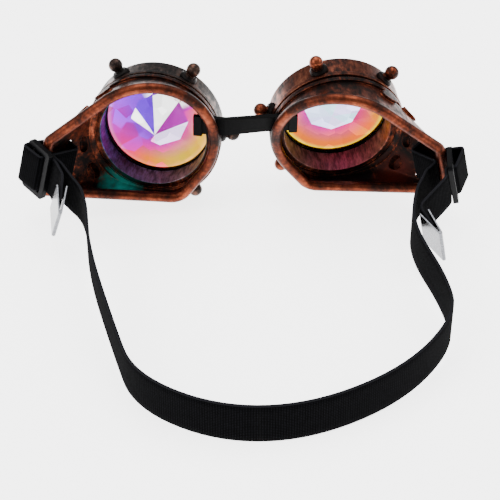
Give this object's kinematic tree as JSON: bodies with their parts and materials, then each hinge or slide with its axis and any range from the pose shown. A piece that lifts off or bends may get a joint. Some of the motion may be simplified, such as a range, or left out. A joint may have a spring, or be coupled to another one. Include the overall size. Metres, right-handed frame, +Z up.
{
  "type": "strapped cup goggles",
  "caption": "Cup goggles with studded screw-on lens rings holding cut-crystal lenses, a folding rubber nose bridge and an adjustable elastic head strap woven through sliders.",
  "frame": {"origin": "middle of the footprint on the table, at table height", "axes": "+X towards the wearer's right-hand lens, +Y the way the wearer looks, +Z up from the table"},
  "size_m": [0.2128, 0.1928, 0.0768],
  "materials": {
    "cup_copper": "antique copper plating, brushed",
    "bezel_copper": "antique copper plating, brushed",
    "stud_copper": "antique copper plating",
    "lens_crystal": "polished facets with a rainbow coating",
    "gasket_rubber": "matte",
    "bridge_rubber": "satin",
    "strap_elastic": "ribbed woven elastic",
    "slider_plastic": "satin",
    "clip_steel": "bright"
  },
  "bodies": {
    "bridge": {"nose_bridge": "bridge_rubber", "elastic_strap": "strap_elastic"},
    "left_cup": {"left_eye_cup": "cup_copper"},
    "left_lens": {"left_crystal_lens": "lens_crystal", "left_lens_gasket": "gasket_rubber"},
    "left_bezel": {"left_bezel_ring": "bezel_copper", "left_bezel_stud_1": "stud_copper", "left_bezel_stud_2": "stud_copper", "left_bezel_stud_3": "stud_copper", "left_bezel_stud_4": "stud_copper", "left_bezel_stud_5": "stud_copper", "left_bezel_stud_6": "stud_copper"},
    "left_slider": {"left_strap_slider": "slider_plastic", "left_strap_clip": "clip_steel"},
    "right_cup": {"right_eye_cup": "cup_copper"},
    "right_lens": {"right_crystal_lens": "lens_crystal", "right_lens_gasket": "gasket_rubber"},
    "right_bezel": {"right_bezel_ring": "bezel_copper", "right_bezel_stud_1": "stud_copper", "right_bezel_stud_2": "stud_copper", "right_bezel_stud_3": "stud_copper", "right_bezel_stud_4": "stud_copper", "right_bezel_stud_5": "stud_copper", "right_bezel_stud_6": "stud_copper"},
    "right_slider": {"right_strap_slider": "slider_plastic", "right_strap_clip": "clip_steel"}
  },
  "joints": [
    {"name": "left_fold", "type": "hinge", "parent": "bridge", "child": "left_cup", "pos_m": [-0.01436, 0.06618, 0.04586], "axis": [0.0134, 0.1002, 0.9949], "range_deg": [-8, 8], "stiffness_Nm_per_rad": 0.05, "deforming": ["elastic_strap"]},
    {"name": "left_lens_slide", "type": "slide", "parent": "left_cup", "child": "left_lens", "axis": [0.1316, 0.9861, -0.1011], "range_m": [0, 0.0015]},
    {"name": "left_bezel_turn", "type": "hinge", "parent": "left_lens", "child": "left_bezel", "pos_m": [-0.04145, 0.08468, 0.03481], "axis": [0.1316, 0.9861, -0.1011], "range_deg": [0, 360]},
    {"name": "left_slider_slide", "type": "slide", "parent": "left_cup", "child": "left_slider", "axis": [-0.6901, -0.7052, 0.1627], "range_m": [0, 0.006]},
    {"name": "right_fold", "type": "hinge", "parent": "bridge", "child": "right_cup", "pos_m": [0.01545, 0.06815, 0.04635], "axis": [0.0134, -0.1368, 0.9905], "range_deg": [-8, 8], "stiffness_Nm_per_rad": 0.05, "deforming": ["elastic_strap"]},
    {"name": "right_lens_slide", "type": "slide", "parent": "right_cup", "child": "right_lens", "axis": [-0.0967, 0.9858, 0.1374], "range_m": [0, 0.0015]},
    {"name": "right_bezel_turn", "type": "hinge", "parent": "right_lens", "child": "right_bezel", "pos_m": [0.04295, 0.08789, 0.03911], "axis": [-0.0967, 0.9858, 0.1374], "range_deg": [0, 360]},
    {"name": "right_slider_slide", "type": "slide", "parent": "right_cup", "child": "right_slider", "axis": [0.6666, -0.7448, -0.029], "range_m": [0, 0.006]}
  ],
  "couplings": [
    {"joint": "left_lens_slide", "follows": "left_bezel_turn", "m_per_rad": 0.00023873},
    {"joint": "right_lens_slide", "follows": "right_bezel_turn", "m_per_rad": 0.00023873}
  ]
}
